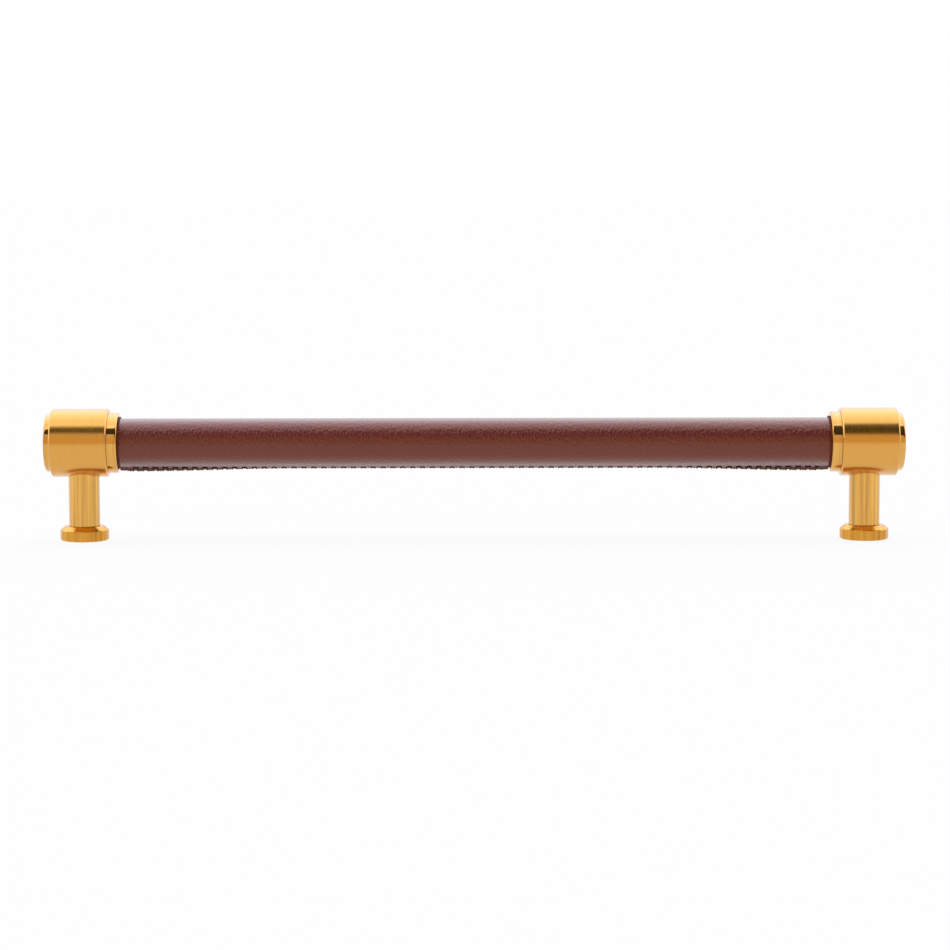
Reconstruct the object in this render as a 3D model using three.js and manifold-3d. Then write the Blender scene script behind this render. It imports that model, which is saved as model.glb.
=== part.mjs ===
// A leather-wrapped bar pull. A metal tube wears a stitched leather sleeve, and each end of it sits in a turned
// brass barrel, which stands on a round post with a stepped foot.
// +X runs along the bar, +Z away from the door, and the feet stand on Z = 0. The seam faces the door.

import * as THREE from "three";
import { mergeVertices } from "three/addons/utils/BufferGeometryUtils.js";
import Module from "manifold-3d";

const wasm = await Module();
wasm.setup();

// Driving sizes, in millimetres

const holeCentres = 304.8; // 12 inches between the two mounting screws
const barHeight = 38; // from the door to the axis of the bar

const tubeDiameter = 16.8;
const tubeWall = 1.3;
const plugLength = 24;

const leatherThickness = 1.05;
const seamHalfWidth = 3; // half of the thinned band that the stitches lie in
const seamShoulder = 1; // width of the slope from the band up to the full leather
const seamSlit = 0.4; // between the two edges of the leather
const seamThicknessMiddle = 0.6; // of the leather under the stitches, half-way along
const seamThicknessEnd = 1.6; // of the leather under the stitches, where the seam stands proud near the collars
const seamRiseStart = 68; // the seam starts to rise this far from the end of the leather
const seamRiseEnd = 8; // and is at its full height this far from it

const threadDiameter = 0.9;
const stitchPitch = 3.87;
const stitchTurn = 1.5; // length of each turn of the thread, along the seam
const stitchMargin = 3; // bare seam at each end

const washerThickness = 0.5;
const washerProud = 0.65; // beyond the leather, on the radius
const collarLength = 3.9;
const collarProud = 2.35; // beyond the leather, on the radius
const collarLip = 0.6; // rounding of the edge beside the leather
const barrelLength = 22.1;
const barrelProud = 1.45; // beyond the collar, on the radius
const barrelShift = 1; // from the post's axis out to the middle of the barrel
const barrelChamfer = 0.45;
const capLength = 2.4;
const capStep = 1.95; // from the barrel's radius down to the cap's
const capRounding = 0.9;
const capSpigotLength = 4;

const postDiameter = 12.1;
const postSink = 0.6; // depth of the barrel's pocket at its shallowest
const postWeb = 4; // solid brass between the screw hole and the stud hole
const screwHoleDiameter = 3.4;
const screwHoleDepth = 11;
const tenonShoulder = 1.5; // from the post's radius down to the tenon's, which passes through the foot
const footFlange = 3.45; // beyond the post, on the radius
const footRim = 4; // height of the foot's straight side
const footCone = 1.55; // height of the slope above it
const footLand = 1.6; // flat ring between the slope and the post
const footChamfer = 0.5;

const studDiameter = 5;
const studInPlug = 6;

// Clearances

const slipFit = 0.05; // between round pieces that slide together, on the radius
const faceFit = 0.02; // between flat faces that meet
const endGap = 0.3; // behind a tenon, a spigot or a stud
const threadGap = 0.3; // between the thread and the leather

// Numbers of facets

const barFacets = 36;
const postFacets = 36;
const studFacets = 20;
const threadFacets = 5;
const roundingSteps = 3;
const leatherSteps = 18;

// Radii about the bar's axis

const tubeRadius = tubeDiameter / 2;
const boreRadius = tubeRadius + slipFit;
const plugRadius = tubeRadius - tubeWall - slipFit;
const leatherRadius = boreRadius + leatherThickness;
const washerRadius = leatherRadius + washerProud;
const collarRadius = leatherRadius + collarProud;
const barrelRadius = collarRadius + barrelProud;
const capRadius = barrelRadius - capStep;

// Places along the bar, from the post's axis outwards

const barrelInside = barrelShift - barrelLength / 2;
const barrelOutside = barrelShift + barrelLength / 2;
const capInside = barrelOutside + faceFit;
const collarOutside = barrelInside - faceFit;
const collarInside = collarOutside - collarLength;
const washerOutside = collarInside - faceFit;
const washerInside = washerOutside - washerThickness;
const tubeEnd = capInside - capSpigotLength - endGap;
const tubeHalf = holeCentres / 2 + tubeEnd;
const leatherHalf = holeCentres / 2 + washerInside - faceFit;

// Radii and heights of the post, above the door

const postRadius = postDiameter / 2;
const tenonRadius = postRadius - tenonShoulder;
const studRadius = studDiameter / 2;
const footHeight = footRim + footCone;
const pocketRadius = postRadius + slipFit;
const pocketFloor = Math.sqrt(barrelRadius ** 2 - pocketRadius ** 2) - postSink; // below the bar's axis
const postTop = barHeight - pocketFloor - faceFit;
const screwHoleTop = endGap + screwHoleDepth;
const studHoleFloor = screwHoleTop + postWeb;
const studTop = barHeight - plugRadius + studInPlug;

// Materials

const brushedBrass = new THREE.MeshStandardMaterial({ color: 0xc8953c, roughness: 0.36, metalness: 1 });
const polishedBrass = new THREE.MeshStandardMaterial({ color: 0xd6a54a, roughness: 0.12, metalness: 1 });
const leather = new THREE.MeshStandardMaterial({ color: 0x5e2a27, roughness: 0.42, metalness: 0 });
const waxedThread = new THREE.MeshStandardMaterial({ color: 0x47211f, roughness: 0.7, metalness: 0 });
const fibre = new THREE.MeshStandardMaterial({ color: 0x4a1c0c, roughness: 0.6, metalness: 0 });
const steel = new THREE.MeshStandardMaterial({ color: 0x8d9096, roughness: 0.4, metalness: 1 });

// A closed profile of [radius, height] points turned about +Y. It runs outwards at the bottom and up the outside.
function turned(profile, facets) {
  const points = [...profile, profile[0]].map(([radius, height]) => new THREE.Vector2(radius, height));
  return new THREE.LatheGeometry(points, facets);
}

function turnedAlongBar(profile) {
  return turned(profile, barFacets).rotateZ(-Math.PI / 2);
}

function turnedUpright(profile, facets) {
  return turned(profile, facets).rotateX(Math.PI / 2);
}

function uprightCylinder(radius, bottom, top, facets) {
  const cylinder = new THREE.CylinderGeometry(radius, radius, top - bottom, facets);
  return cylinder.rotateX(Math.PI / 2).translate(0, 0, (bottom + top) / 2);
}

// The points of a rounded corner, for a profile: angles in degrees, 0 pointing outwards and 90 upwards.
function rounding(centreRadius, centreHeight, radius, startDegrees, endDegrees) {
  const corner = new THREE.EllipseCurve(
    centreRadius,
    centreHeight,
    radius,
    radius,
    THREE.MathUtils.degToRad(startDegrees),
    THREE.MathUtils.degToRad(endDegrees),
  );
  return corner.getPoints(roundingSteps).map((point) => [point.x, point.y]);
}

function toSolid(geometry) {
  const shape = geometry.clone();
  shape.deleteAttribute("normal");
  shape.deleteAttribute("uv");
  const merged = mergeVertices(shape);
  const vertProperties = merged.attributes.position.array;
  const triVerts = new Uint32Array(merged.index.array);
  return new wasm.Manifold(new wasm.Mesh({ numProp: 3, vertProperties, triVerts }));
}

function toGeometry(solid) {
  const { vertProperties, triVerts } = solid.getMesh();
  const geometry = new THREE.BufferGeometry();
  geometry.setAttribute("position", new THREE.BufferAttribute(vertProperties, 3));
  geometry.setIndex(new THREE.BufferAttribute(triVerts, 1));
  geometry.computeVertexNormals();
  return geometry;
}

function drilled(geometry, drills) {
  const solid = drills.reduce((body, drill) => body.subtract(toSolid(drill)), toSolid(geometry));
  return toGeometry(solid);
}

function piece(name, geometry, material) {
  const mesh = new THREE.Mesh(geometry, material);
  mesh.name = name;
  return mesh;
}

// The bar: tube, leather and thread, about an axis at the origin

// A stud hole through the underside of the tube near each end.
function coreTube() {
  const inner = tubeRadius - tubeWall;
  const profile = [
    [inner, -tubeHalf],
    [tubeRadius, -tubeHalf],
    [tubeRadius, tubeHalf],
    [inner, tubeHalf],
  ];
  const studHole = uprightCylinder(studRadius + slipFit, -barrelRadius, -studRadius, studFacets);
  const studHoles = [-holeCentres / 2, holeCentres / 2].map((x) => studHole.clone().translate(x, 0, 0));
  return drilled(turnedAlongBar(profile), studHoles);
}

// Thickness of the leather under the stitches, which grows towards the collars.
function seamThickness(x) {
  const rise = THREE.MathUtils.smoothstep(Math.abs(x), leatherHalf - seamRiseStart, leatherHalf - seamRiseEnd);
  return THREE.MathUtils.lerp(seamThicknessMiddle, seamThicknessEnd, rise);
}

// A point of the bar's section, by its radius and its angle from straight down, where the seam is.
function sectionPoint(radius, angle) {
  return new THREE.Vector2(radius * Math.sin(angle), -radius * Math.cos(angle));
}

// One sheet rolled round the tube until its edges nearly meet. The band beside the edges is pressed in by the
// stitches, so its points are moved to the thickness that the seam has at their place along the bar.
function leatherWrap() {
  const slitAngle = seamSlit / 2 / leatherRadius;
  const bandAngle = seamHalfWidth / leatherRadius;
  const shoulderAngle = (seamHalfWidth + seamShoulder) / leatherRadius;
  const facetAngle = (2 * Math.PI) / barFacets;
  const facetAngles = Array.from({ length: barFacets - 1 }, (_, i) => (i + 1) * facetAngle);
  const plainAngles = facetAngles.filter((a) => a > shoulderAngle && a < 2 * Math.PI - shoulderAngle);
  const seamAngles = [slitAngle, bandAngle / 2, bandAngle, shoulderAngle];
  const otherEdge = seamAngles.map((a) => 2 * Math.PI - a).reverse();
  const outerAngles = [...seamAngles, ...plainAngles, ...otherEdge];
  const innerAngles = [slitAngle, ...facetAngles, 2 * Math.PI - slitAngle].reverse();
  const outline = [
    ...outerAngles.map((angle) => sectionPoint(leatherRadius, angle)),
    ...innerAngles.map((angle) => sectionPoint(boreRadius, angle)),
  ];
  const length = 2 * leatherHalf;
  const sleeve = new THREE.ExtrudeGeometry(new THREE.Shape(outline), {
    depth: length,
    steps: leatherSteps,
    bevelEnabled: false,
  });
  sleeve.rotateX(Math.PI / 2).rotateZ(Math.PI / 2);

  const position = sleeve.attributes.position;
  const middleRadius = (leatherRadius + boreRadius) / 2;
  const bandLimit = (bandAngle + shoulderAngle) / 2;
  const point = new THREE.Vector3();
  for (let i = 0; i < position.count; i++) {
    point.fromBufferAttribute(position, i);
    // The steps crowd towards the ends, where the seam rises.
    const x = leatherHalf * Math.sin((point.x / length - 0.5) * Math.PI);
    const radius = Math.hypot(point.y, point.z);
    const isOutside = radius > middleRadius;
    const isInBand = Math.atan2(Math.abs(point.y), -point.z) < bandLimit;
    const scale = isOutside && isInBand ? (boreRadius + seamThickness(x)) / radius : 1;
    position.setXYZ(i, x, point.y * scale, point.z * scale);
  }
  return sleeve;
}

// One thread zigzags over the seam from end to end. It has two sections at each turn and one where it crosses.
function seamThread() {
  const stitchedLength = 2 * (leatherHalf - stitchMargin);
  const stitchCount = Math.round(stitchedLength / stitchPitch);
  const halfPitch = stitchedLength / stitchCount / 2;
  const swing = seamHalfWidth - threadGap - threadDiameter / 2;

  const pathPoint = (x, across) => {
    const radius = boreRadius + seamThickness(x) + threadGap + threadDiameter / 2;
    const section = sectionPoint(radius, across / radius);
    return new THREE.Vector3(x, section.x, section.y);
  };
  const points = [];
  for (let turn = 0; turn < 2 * stitchCount; turn++) {
    const x = (turn + 0.5) * halfPitch - stitchedLength / 2;
    const across = turn % 2 === 0 ? swing : -swing;
    if (turn > 0) points.push(pathPoint(x - halfPitch / 2, 0));
    points.push(pathPoint(x - stitchTurn / 2, across));
    points.push(pathPoint(x + stitchTurn / 2, across));
  }
  const path = new THREE.CatmullRomCurve3(points);
  path.getUtoTmapping = (u) => u; // each section stands at a point of the path

  const corners = Array.from({ length: threadFacets }, (_, i) => (i / threadFacets) * 2 * Math.PI);
  const section = corners.map((angle) => sectionPoint(threadDiameter / 2, angle));
  return new THREE.ExtrudeGeometry(new THREE.Shape(section), { steps: points.length - 1, extrudePath: path });
}

// The pieces at an end, about the point where the post's axis meets the bar's axis, with +X outwards

// The plug fills the tube's end, and its blind hole takes the stud.
function corePlug() {
  const profile = [
    [0, tubeEnd - plugLength],
    [plugRadius, tubeEnd - plugLength],
    [plugRadius, tubeEnd],
    [0, tubeEnd],
  ];
  const studHoleTop = studTop - barHeight + endGap;
  const studHole = uprightCylinder(studRadius + slipFit, -barrelRadius, studHoleTop, studFacets);
  return drilled(turnedAlongBar(profile), [studHole]);
}

// The barrel has a flat-bottomed pocket for the post in its underside, and a stud hole from there into the bore.
function barrel() {
  const profile = [
    [boreRadius, barrelInside],
    [barrelRadius - barrelChamfer, barrelInside],
    [barrelRadius, barrelInside + barrelChamfer],
    [barrelRadius, barrelOutside - barrelChamfer],
    [barrelRadius - barrelChamfer, barrelOutside],
    [boreRadius, barrelOutside],
  ];
  const below = -2 * barrelRadius;
  const pocket = uprightCylinder(pocketRadius, below, -pocketFloor, postFacets);
  const studHole = uprightCylinder(studRadius + slipFit, below, -studRadius, studFacets);
  return drilled(turnedAlongBar(profile), [pocket, studHole]);
}

function collar() {
  return turnedAlongBar([
    [boreRadius, collarInside],
    ...rounding(collarRadius - collarLip, collarInside + collarLip, collarLip, -90, 0),
    [collarRadius, collarOutside],
    [boreRadius, collarOutside],
  ]);
}

function endWasher() {
  return turnedAlongBar([
    [boreRadius, washerInside],
    [washerRadius, washerInside],
    [washerRadius, washerOutside],
    [boreRadius, washerOutside],
  ]);
}

// The cap closes the barrel: a disc with a rounded edge, on a spigot in the bore.
function endCap() {
  const spigotRadius = boreRadius - slipFit;
  const capOutside = capInside + capLength;
  return turnedAlongBar([
    [0, capInside - capSpigotLength],
    [spigotRadius, capInside - capSpigotLength],
    [spigotRadius, capInside],
    [capRadius, capInside],
    ...rounding(capRadius - capRounding, capOutside - capRounding, capRounding, 0, 90),
    [0, capOutside],
  ]);
}

// The pieces at an end that stand on the door, about the point where the post's axis meets it

// The post has a screw hole in its lower end, a stud hole in its top and a tenon that passes through the foot.
function post() {
  const screwHoleRadius = screwHoleDiameter / 2;
  const studHoleRadius = studRadius + slipFit;
  const profile = [
    [0, screwHoleTop],
    [screwHoleRadius, screwHoleTop],
    [screwHoleRadius, endGap],
    [tenonRadius, endGap],
    [tenonRadius, footHeight + faceFit],
    [postRadius, footHeight + faceFit],
    [postRadius, postTop],
    [studHoleRadius, postTop],
    [studHoleRadius, studHoleFloor],
    [0, studHoleFloor],
  ];
  return turnedUpright(profile, postFacets);
}

function foot() {
  const footRadius = postRadius + footFlange;
  const holeRadius = tenonRadius + slipFit;
  const profile = [
    [holeRadius, 0],
    [footRadius - footChamfer, 0],
    [footRadius, footChamfer],
    [footRadius, footRim],
    [postRadius + footLand, footHeight],
    [holeRadius, footHeight],
  ];
  return turnedUpright(profile, postFacets);
}

// The stud ties the post, the barrel, the tube and the plug together.
function postStud() {
  return uprightCylinder(studRadius, studHoleFloor + endGap, studTop, studFacets);
}

function makeBar() {
  const bar = new THREE.Group();
  bar.position.z = barHeight;
  bar.add(piece("core_tube", coreTube(), steel));
  bar.add(piece("leather_wrap", leatherWrap(), leather));
  bar.add(piece("seam_thread", seamThread(), waxedThread));
  return bar;
}

function makeEnd(side) {
  const onBar = new THREE.Group();
  onBar.position.z = barHeight;
  onBar.add(piece(`${side}_core_plug`, corePlug(), steel));
  onBar.add(piece(`${side}_barrel`, barrel(), brushedBrass));
  onBar.add(piece(`${side}_collar`, collar(), polishedBrass));
  onBar.add(piece(`${side}_end_washer`, endWasher(), fibre));
  onBar.add(piece(`${side}_end_cap`, endCap(), polishedBrass));

  const end = new THREE.Group();
  end.add(onBar);
  end.add(piece(`${side}_post`, post(), polishedBrass));
  end.add(piece(`${side}_foot`, foot(), polishedBrass));
  end.add(piece(`${side}_post_stud`, postStud(), steel));
  return end;
}

const rightEnd = makeEnd("right");
rightEnd.position.x = holeCentres / 2;

const leftEnd = makeEnd("left");
leftEnd.position.x = -holeCentres / 2;
leftEnd.rotation.z = Math.PI;

const pull = new THREE.Group();
pull.name = "bar_pull";
pull.add(makeBar(), leftEnd, rightEnd);

export default pull;
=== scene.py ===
"""A leather-wrapped bar pull: a stitched sleeve between brass ends, on round posts with stepped feet.

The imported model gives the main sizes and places. The classes below hold one sub-assembly each and work in
millimetres, and a piece is brought to metres when it becomes an object.
"""

from __future__ import annotations

import logging
import math
from dataclasses import dataclass, field
from enum import Enum
from typing import Any, Sequence

import bmesh
import bpy
from mathutils import Matrix, Quaternion, Vector
from mathutils.kdtree import KDTree

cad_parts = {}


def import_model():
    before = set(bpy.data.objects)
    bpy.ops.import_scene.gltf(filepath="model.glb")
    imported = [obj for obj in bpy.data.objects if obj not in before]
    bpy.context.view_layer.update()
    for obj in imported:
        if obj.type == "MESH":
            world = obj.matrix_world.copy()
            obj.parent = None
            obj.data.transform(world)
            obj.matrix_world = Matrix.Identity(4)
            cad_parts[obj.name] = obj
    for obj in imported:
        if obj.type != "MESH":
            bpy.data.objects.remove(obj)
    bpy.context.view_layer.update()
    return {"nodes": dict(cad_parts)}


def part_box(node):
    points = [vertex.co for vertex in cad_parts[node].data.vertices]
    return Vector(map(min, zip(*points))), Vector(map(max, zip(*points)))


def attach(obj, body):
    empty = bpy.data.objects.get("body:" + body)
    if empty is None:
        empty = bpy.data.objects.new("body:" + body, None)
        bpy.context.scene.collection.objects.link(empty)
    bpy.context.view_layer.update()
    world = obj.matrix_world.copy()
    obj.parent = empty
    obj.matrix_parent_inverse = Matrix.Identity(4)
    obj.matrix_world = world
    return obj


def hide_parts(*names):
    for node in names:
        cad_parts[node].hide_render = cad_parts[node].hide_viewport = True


LOG = logging.getLogger("bar_pull")

MM = 0.001
BODY = "root"

SLIP_FIT = 0.05  # between round pieces that slide together, on the radius
BAR_SEGMENTS = 192
POST_SEGMENTS = 128
ROUNDING_SEGMENTS = 5
SHARP_ANGLE = math.radians(32)
MERGED = 1e-4  # points closer together than this are one
FACE_WEIGHT = 90  # how much a face's size counts in the shading, out of 100
HALF_TURN = 180.0  # degrees
WHITE = (1, 1, 1, 1)
LACQUER_IOR = 1.6  # of the clear lacquer on the brass


class Side(Enum):
    """The two ends of the bar, by the sign of their place along +X."""

    LEFT = -1
    RIGHT = 1

    @property
    def prefix(self) -> str:
        """The word that the end's nodes and pieces start with."""
        return self.name.lower()

    @property
    def outwards(self) -> Matrix:
        """A turn that takes +Z to the direction out of this end of the bar."""
        return Matrix.Rotation(self.value * math.pi / 2, 4, "Y")


def linear(hex_colour: str) -> tuple[float, float, float, float]:
    """Turns an sRGB hex colour into linear RGBA.

    Args:
        hex_colour: six hex digits after a hash.

    Returns:
        The linear red, green, blue and an alpha of 1.
    """
    shares = [int(hex_colour[i : i + 2], 16) / 255 for i in (1, 3, 5)]
    red, green, blue = (s / 12.92 if s <= 0.04045 else ((s + 0.055) / 1.055) ** 2.4 for s in shares)
    return red, green, blue, 1.0


def smoothstep(value: float, low: float, high: float) -> float:
    """Rises smoothly from 0 at low to 1 at high."""
    share = min(max((value - low) / (high - low), 0.0), 1.0)
    return share * share * (3 - 2 * share)


def add_node(
    tree: bpy.types.NodeTree,
    kind: str,
    inputs: dict[str | int, Any] | None = None,
    **settings: Any,
) -> bpy.types.Node:
    """Adds a node with its settings, its input values and its links.

    Args:
        tree: the node tree that it joins.
        kind: the node's type name.
        inputs: a value, another node or one of its outputs, for each named or numbered input. A node stands
            for its first output.
        **settings: the node's own properties.

    Returns:
        The new node.
    """
    node = tree.nodes.new(kind)
    for name, value in settings.items():
        setattr(node, name, value)
    for name, value in (inputs or {}).items():
        if isinstance(value, bpy.types.Node):
            value = value.outputs[0]
        if isinstance(value, bpy.types.NodeSocket):
            tree.links.new(value, node.inputs[name])
        else:
            node.inputs[name].default_value = value
    return node


def start_material(name: str) -> tuple[bpy.types.Material, bpy.types.NodeTree, bpy.types.NodeSocket]:
    """Starts a material with its Object coordinates.

    Args:
        name: the material's name.

    Returns:
        The material, its tree with that one node in it, and the coordinates.
    """
    material = bpy.data.materials.new(name)
    material.use_nodes = True
    tree = material.node_tree
    tree.nodes.clear()
    place = add_node(tree, "ShaderNodeTexCoord").outputs["Object"]
    return material, tree, place


def end_material(tree: bpy.types.NodeTree, inputs: dict[str | int, Any]) -> None:
    """Ends a material with its Principled shader and output.

    Args:
        tree: the material's tree.
        inputs: the shader's values and links.
    """
    shader = add_node(tree, "ShaderNodeBsdfPrincipled", inputs)
    add_node(tree, "ShaderNodeOutputMaterial", {"Surface": shader})


@dataclass(frozen=True)
class SatinBrass:
    """Lacquered brass, brushed round the barrel on a lathe.

    Its fine rings blur what it mirrors into soft bands.
    """

    colour: str = "#E0A233"
    worn_colour: str = "#D29428"
    roughness: float = 0.23
    roughness_swing: float = 0.04
    ring_width: float = 0.22  # of the brush marks, along the bar
    ring_length: float = 20.0  # of the brush marks, round the bar
    ring_depth: float = 0.0006

    def material(self, name: str) -> bpy.types.Material:
        """Makes the material."""
        material, tree, place = start_material(name)
        stretch = [1 / (size * MM) for size in (self.ring_width, self.ring_length, self.ring_length)]
        rings = add_node(tree, "ShaderNodeMapping", {"Vector": place, "Scale": stretch})
        noise = {"Vector": rings, "Scale": 1.0, "Detail": 4.0, "Roughness": 0.6}
        marks = add_node(tree, "ShaderNodeTexNoise", noise)
        tints = {0: marks, 6: linear(self.worn_colour), 7: linear(self.colour)}
        tone = add_node(tree, "ShaderNodeMix", tints, data_type="RGBA")
        span = {"Value": marks, "From Min": 0.3, "From Max": 0.7}
        span["To Min"] = self.roughness + self.roughness_swing
        span["To Max"] = self.roughness - self.roughness_swing
        gloss = add_node(tree, "ShaderNodeMapRange", span)
        relief = {"Height": marks, "Strength": 0.5, "Distance": self.ring_depth * MM}
        bump = add_node(tree, "ShaderNodeBump", relief)
        end_material(
            tree,
            {
                "Base Color": tone.outputs[2],
                "Metallic": 1.0,
                "Roughness": gloss,
                "Normal": bump,
                "Coat Weight": 1.0,
                "Coat Roughness": 0.16,
                "Coat IOR": LACQUER_IOR,
            },
        )
        return material


@dataclass(frozen=True)
class PolishedBrass:
    """Lacquered brass, polished bright on a lathe.

    It mirrors crisp bands, with the wheel's faint marks in them. On the posts, the marks' tone also holds
    painted reflection bands.
    """

    marks: tuple[float, float, float]  # the size of the wheel's marks along X, Y and Z
    roughness: float  # of the metal under the lacquer
    lacquer_roughness: float
    lacquer: float = 1.0  # how much of it there is
    colour: str = "#E3A83E"
    stripe_colour: str = "#C98F2C"
    smudge_width: float = 5.556  # of the smudges that dull it a little

    def material(self, name: str) -> bpy.types.Material:
        """Makes the material."""
        material, tree, place = start_material(name)
        stretch = [1 / (size * MM) for size in self.marks]
        lines = add_node(tree, "ShaderNodeMapping", {"Vector": place, "Scale": stretch})
        drag = add_node(tree, "ShaderNodeTexNoise", {"Vector": lines, "Scale": 1.0, "Detail": 2.0})
        share = add_node(tree, "ShaderNodeMapRange", {"Value": drag, "From Min": 0.3, "From Max": 0.7})
        tints = {0: share, 6: linear(self.stripe_colour), 7: linear(self.colour)}
        tone = add_node(tree, "ShaderNodeMix", tints, data_type="RGBA")
        scale = 1 / (self.smudge_width * MM)
        smudges = add_node(tree, "ShaderNodeTexNoise", {"Vector": place, "Scale": scale, "Detail": 3.0})
        span = {"Value": smudges, "From Min": 0.35, "From Max": 0.7}
        span |= {"To Min": self.roughness - 0.02, "To Max": self.roughness + 0.03}
        gloss = add_node(tree, "ShaderNodeMapRange", span)
        end_material(
            tree,
            {
                "Base Color": tone.outputs[2],
                "Metallic": 1.0,
                "Roughness": gloss,
                "Coat Weight": self.lacquer,
                "Coat Roughness": self.lacquer_roughness,
                "Coat IOR": LACQUER_IOR,
            },
        )
        return material


@dataclass(frozen=True)
class OxbloodLeather:
    """Finished oxblood leather: a fine pebbled grain with a soft sheen.

    It is darker along the seam: dyed at the cut edges, with painted shade beside the thread and on the
    raised seam's sides. Its finish shines where it is seen at a slant.
    """

    colour: str = "#68231F"
    deep_colour: str = "#5B1D1A"
    # the cut edges' dye, also used for the painted shade beside the thread and on the seam's sides
    edge_and_shade_colour: str = "#33130E"
    highlight: str = "#FFC8AC"
    roughness: float = 0.26
    grain_width: float = 0.6  # along the bar
    grain_length: float = 1.1  # round the bar
    grain_depth: float = 0.26
    wander: float = 0.2  # of the pebbles from even rows
    pore_share: float = 0.35  # of the pores in the grain's depth
    cloud_width: float = 16.67  # of the slow changes in tone
    least_glaze: float = 0.05  # of the finish's shine, seen straight on
    most_glaze: float = 0.85  # and seen at a slant

    def material(self, name: str) -> bpy.types.Material:
        """Makes the material."""
        material, tree, place = start_material(name)
        stretch = [1 / (size * MM) for size in (self.grain_width, self.grain_length, self.grain_length)]
        grain = add_node(tree, "ShaderNodeMapping", {"Vector": place, "Scale": stretch})
        drift = add_node(tree, "ShaderNodeTexNoise", {"Vector": grain, "Scale": 0.7, "Detail": 2.0})
        mix = {0: self.wander, 4: grain, 5: drift.outputs["Color"]}
        bent = add_node(tree, "ShaderNodeMix", mix, data_type="VECTOR")
        cells = {"Vector": bent.outputs[1], "Scale": 1.0}
        pebbles = add_node(tree, "ShaderNodeTexVoronoi", cells, feature="SMOOTH_F1").outputs["Distance"]
        pores = add_node(tree, "ShaderNodeTexNoise", {"Vector": grain, "Scale": 3.0, "Detail": 3.0})
        terms = {0: pores, 1: self.pore_share, 2: pebbles}
        height = add_node(tree, "ShaderNodeMath", terms, operation="MULTIPLY_ADD")
        relief = {"Height": height, "Strength": 1.0, "Distance": self.grain_depth * MM}
        bump = add_node(tree, "ShaderNodeBump", relief, invert=True)
        scale = 1 / (self.cloud_width * MM)
        clouds = add_node(tree, "ShaderNodeTexNoise", {"Vector": place, "Scale": scale, "Detail": 4.0})
        tints = {0: clouds, 6: linear(self.deep_colour), 7: linear(self.colour)}
        tone = add_node(tree, "ShaderNodeMix", tints, data_type="RGBA")
        # darkened along the seam: dye at the cut edges, painted shade beside the thread and on the raised
        # seam's sides
        dye_and_shade = add_node(tree, "ShaderNodeAttribute", attribute_name=LeatherSleeve.DYE).outputs["Fac"]
        tints = {0: dye_and_shade, 6: tone.outputs[2], 7: linear(self.edge_and_shade_colour)}
        dyed_and_shaded = add_node(tree, "ShaderNodeMix", tints, data_type="RGBA")
        span = {"Value": pebbles, "From Min": 0.1, "From Max": 0.7}
        span |= {"To Min": self.roughness - 0.04, "To Max": self.roughness + 0.06}
        gloss = add_node(tree, "ShaderNodeMapRange", span)
        slant = add_node(tree, "ShaderNodeLayerWeight", {"Blend": 0.5}).outputs["Facing"]
        span = {"Value": slant, "From Min": 0.15, "From Max": 0.6}
        span |= {"To Min": self.least_glaze, "To Max": self.most_glaze}
        glaze = add_node(tree, "ShaderNodeMapRange", span)
        undyed_unshaded = add_node(tree, "ShaderNodeMath", {0: 1.0, 1: dye_and_shade}, operation="SUBTRACT")
        glazed = add_node(tree, "ShaderNodeMath", {0: glaze, 1: undyed_unshaded}, operation="MULTIPLY")
        end_material(
            tree,
            {
                "Base Color": dyed_and_shaded.outputs[2],
                "Roughness": gloss,
                "Specular IOR Level": 1.0,
                "Specular Tint": linear(self.highlight),
                "Coat Weight": glazed,
                "Coat Roughness": 0.15,
                "Coat IOR": 1.7,
                "Normal": bump,
            },
        )
        return material


@dataclass(frozen=True)
class FineTexture:
    """A dull material with one fine texture all over, which tints it and stands out a little."""

    colour: str
    deep_colour: str  # in the texture's hollows
    width: float  # of its features
    detail: float
    depth: float  # of its hollows
    strength: float
    roughness: float
    specular: float
    sheen: float = 0.0

    def material(self, name: str) -> bpy.types.Material:
        """Makes the material."""
        material, tree, place = start_material(name)
        noise = {"Vector": place, "Scale": 1 / (self.width * MM), "Detail": self.detail}
        texture = add_node(tree, "ShaderNodeTexNoise", noise)
        tints = {0: texture, 6: linear(self.deep_colour), 7: linear(self.colour)}
        tone = add_node(tree, "ShaderNodeMix", tints, data_type="RGBA")
        relief = {"Height": texture, "Strength": self.strength, "Distance": self.depth * MM}
        bump = add_node(tree, "ShaderNodeBump", relief)
        end_material(
            tree,
            {
                "Base Color": tone.outputs[2],
                "Roughness": self.roughness,
                "Specular IOR Level": self.specular,
                "Sheen Weight": self.sheen,
                "Normal": bump,
            },
        )
        return material


@dataclass(frozen=True)
class TurnedSteel:
    """Plain turned steel, hidden in the pull: grey, with fine tool marks."""

    colour: str = "#90939A"
    stripe_colour: str = "#7D8087"
    mark_width: float = 0.25

    def material(self, name: str) -> bpy.types.Material:
        """Makes the material."""
        material, tree, place = start_material(name)
        noise = {"Vector": place, "Scale": 1 / (self.mark_width * MM), "Detail": 3.0}
        marks = add_node(tree, "ShaderNodeTexNoise", noise)
        tints = {0: marks, 6: linear(self.stripe_colour), 7: linear(self.colour)}
        tone = add_node(tree, "ShaderNodeMix", tints, data_type="RGBA")
        gloss = add_node(tree, "ShaderNodeMapRange", {"Value": marks, "To Min": 0.32, "To Max": 0.46})
        end_material(tree, {"Base Color": tone.outputs[2], "Metallic": 1.0, "Roughness": gloss})
        return material


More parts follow.
